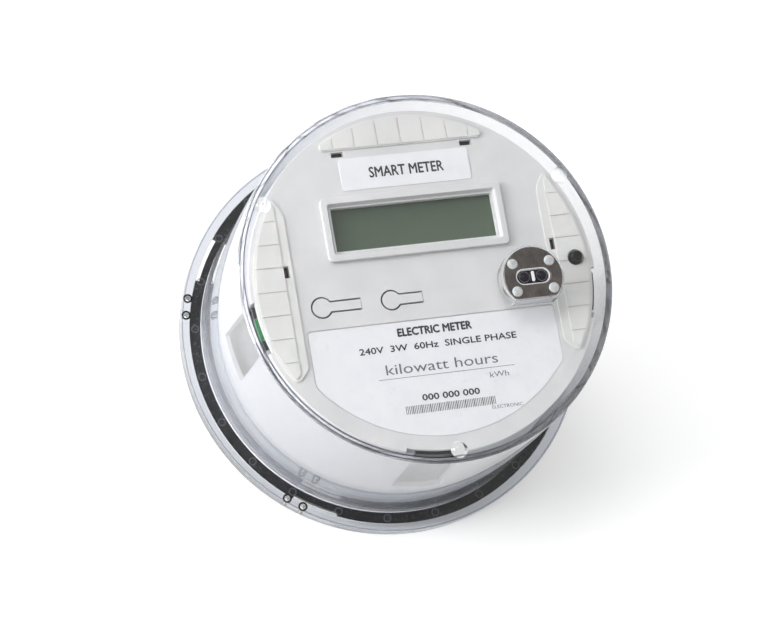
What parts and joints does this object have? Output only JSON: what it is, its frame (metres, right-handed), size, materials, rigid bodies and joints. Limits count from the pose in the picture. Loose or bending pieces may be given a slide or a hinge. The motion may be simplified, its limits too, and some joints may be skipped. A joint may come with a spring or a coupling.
{
  "type": "smart electric meter",
  "caption": "Socket electricity meter with a clear drum cover, white register face, display, flexing buttons, optical port and rear blades.",
  "frame": {"origin": "centre of the rim's rear face, where the meter seats on its socket", "axes": "front faces -Y, rear and blades towards +Y, top of the display +Z, +X to the right as seen from the front"},
  "size_m": [0.1768, 0.1336, 0.1768],
  "materials": {
    "clear_polycarbonate": "clear, polished",
    "stainless_plate": "bright rolled, slightly brown",
    "black_base_plastic": "fine sparked texture",
    "gasket_rubber": "matte",
    "zinc_screws": "zinc plated",
    "white_shroud_plastic": "satin",
    "white_face_plastic": "satin",
    "grey_frame_plastic": "matte",
    "display_glass": "dark grey-green, semi-gloss",
    "light_guide": "translucent",
    "contact_elastomer": "matte",
    "label_stock": "printed film",
    "black_parts": "satin",
    "infrared_lens": "dark clear lens",
    "green_board": "solder mask",
    "tinned_copper": "tin plated",
    "bare_copper": "bright copper",
    "sensor_casing": "moulded",
    "capacitor_sleeve": "shrink sleeve",
    "transformer_core": "varnished",
    "shield_can": "tin plated",
    "slider_plastic": "matte",
    "coil_winding": "enamelled wire"
  },
  "bodies": {
    "meter": {"base": "black_base_plastic", "cover_gasket": "gasket_rubber", "base_screws": "zinc_screws", "plunger_spring": "zinc_screws", "blade_pins": "zinc_screws", "inner_shroud": "white_shroud_plastic", "face_plate": "white_face_plastic", "display_bezel": "white_face_plastic", "inner_frame": "grey_frame_plastic", "plunger_guide": "grey_frame_plastic", "board_header": "grey_frame_plastic", "display_glass": "display_glass", "display_light_guide": "light_guide", "light_divider": "light_guide", "display_contact_strips": "contact_elastomer", "name_label": "label_stock", "rating_label": "label_stock", "button_switches": "black_parts", "metering_chip": "black_parts", "switch_lid": "black_parts", "switch_case": "black_parts", "infrared_emitter": "infrared_lens", "infrared_receiver": "infrared_lens", "display_board": "green_board", "metering_board": "green_board", "antenna_strip": "green_board", "line_blade_left": "tinned_copper", "line_blade_right": "tinned_copper", "load_blade_left": "tinned_copper", "load_blade_right": "tinned_copper", "line_bar_left": "bare_copper", "line_bar_right": "bare_copper", "load_bar_left": "bare_copper", "load_bar_right": "bare_copper", "current_sensor_left": "sensor_casing", "current_sensor_right": "sensor_casing", "surge_varistors": "sensor_casing", "filter_capacitors": "capacitor_sleeve", "backup_capacitor": "capacitor_sleeve", "power_transformer": "transformer_core", "radio_shield": "shield_can", "solenoid_coil": "coil_winding"},
    "cover": {"outer_cover": "clear_polycarbonate", "optical_port_plate": "stainless_plate", "optical_port_rivets": "clear_polycarbonate"},
    "left_button_body": {"left_button": "white_face_plastic"},
    "right_button_body": {"right_button": "white_face_plastic"},
    "plunger_body": {"reset_plunger": "black_parts"},
    "slider_body": {"switch_slider": "slider_plastic"},
    "left_arm_body": {"contact_arm_left": "bare_copper"},
    "right_arm_body": {"contact_arm_right": "bare_copper"}
  },
  "joints": [
    {"name": "cover_twist", "type": "hinge", "parent": "meter", "child": "cover", "pos_m": [0, 0, 0], "axis": [0, -1, 0], "range_deg": [0, 15]},
    {"name": "left_button_press", "type": "hinge", "parent": "meter", "child": "left_button_body", "pos_m": [-0.0279, -0.0868, -0.0071], "axis": [0, 0, -1], "range_deg": [0, 3.4], "stiffness_Nm_per_rad": 0.3},
    {"name": "right_button_press", "type": "hinge", "parent": "meter", "child": "right_button_body", "pos_m": [-0.0021, -0.0868, -0.0071], "axis": [0, 0, -1], "range_deg": [0, 4.2], "stiffness_Nm_per_rad": 0.3},
    {"name": "plunger_press", "type": "slide", "parent": "meter", "child": "plunger_body", "axis": [0, 1, 0], "range_m": [0, 0.002], "stiffness_N_per_m": 300, "deforming": ["plunger_spring"]},
    {"name": "switch_throw", "type": "slide", "parent": "meter", "child": "slider_body", "axis": [0, 0, -1], "range_m": [0, 0.003]},
    {"name": "left_contact_swing", "type": "hinge", "parent": "meter", "child": "left_arm_body", "pos_m": [-0.0217, -0.009, -0.013], "axis": [0, 1, 0], "range_deg": [0, 5.01]},
    {"name": "right_contact_swing", "type": "hinge", "parent": "meter", "child": "right_arm_body", "pos_m": [0.0217, -0.009, -0.013], "axis": [0, -1, 0], "range_deg": [0, 5.01]}
  ],
  "couplings": [
    {"joint": "left_contact_swing", "follows": "switch_throw", "rad_per_m": 29.089},
    {"joint": "right_contact_swing", "follows": "switch_throw", "rad_per_m": 29.089}
  ]
}
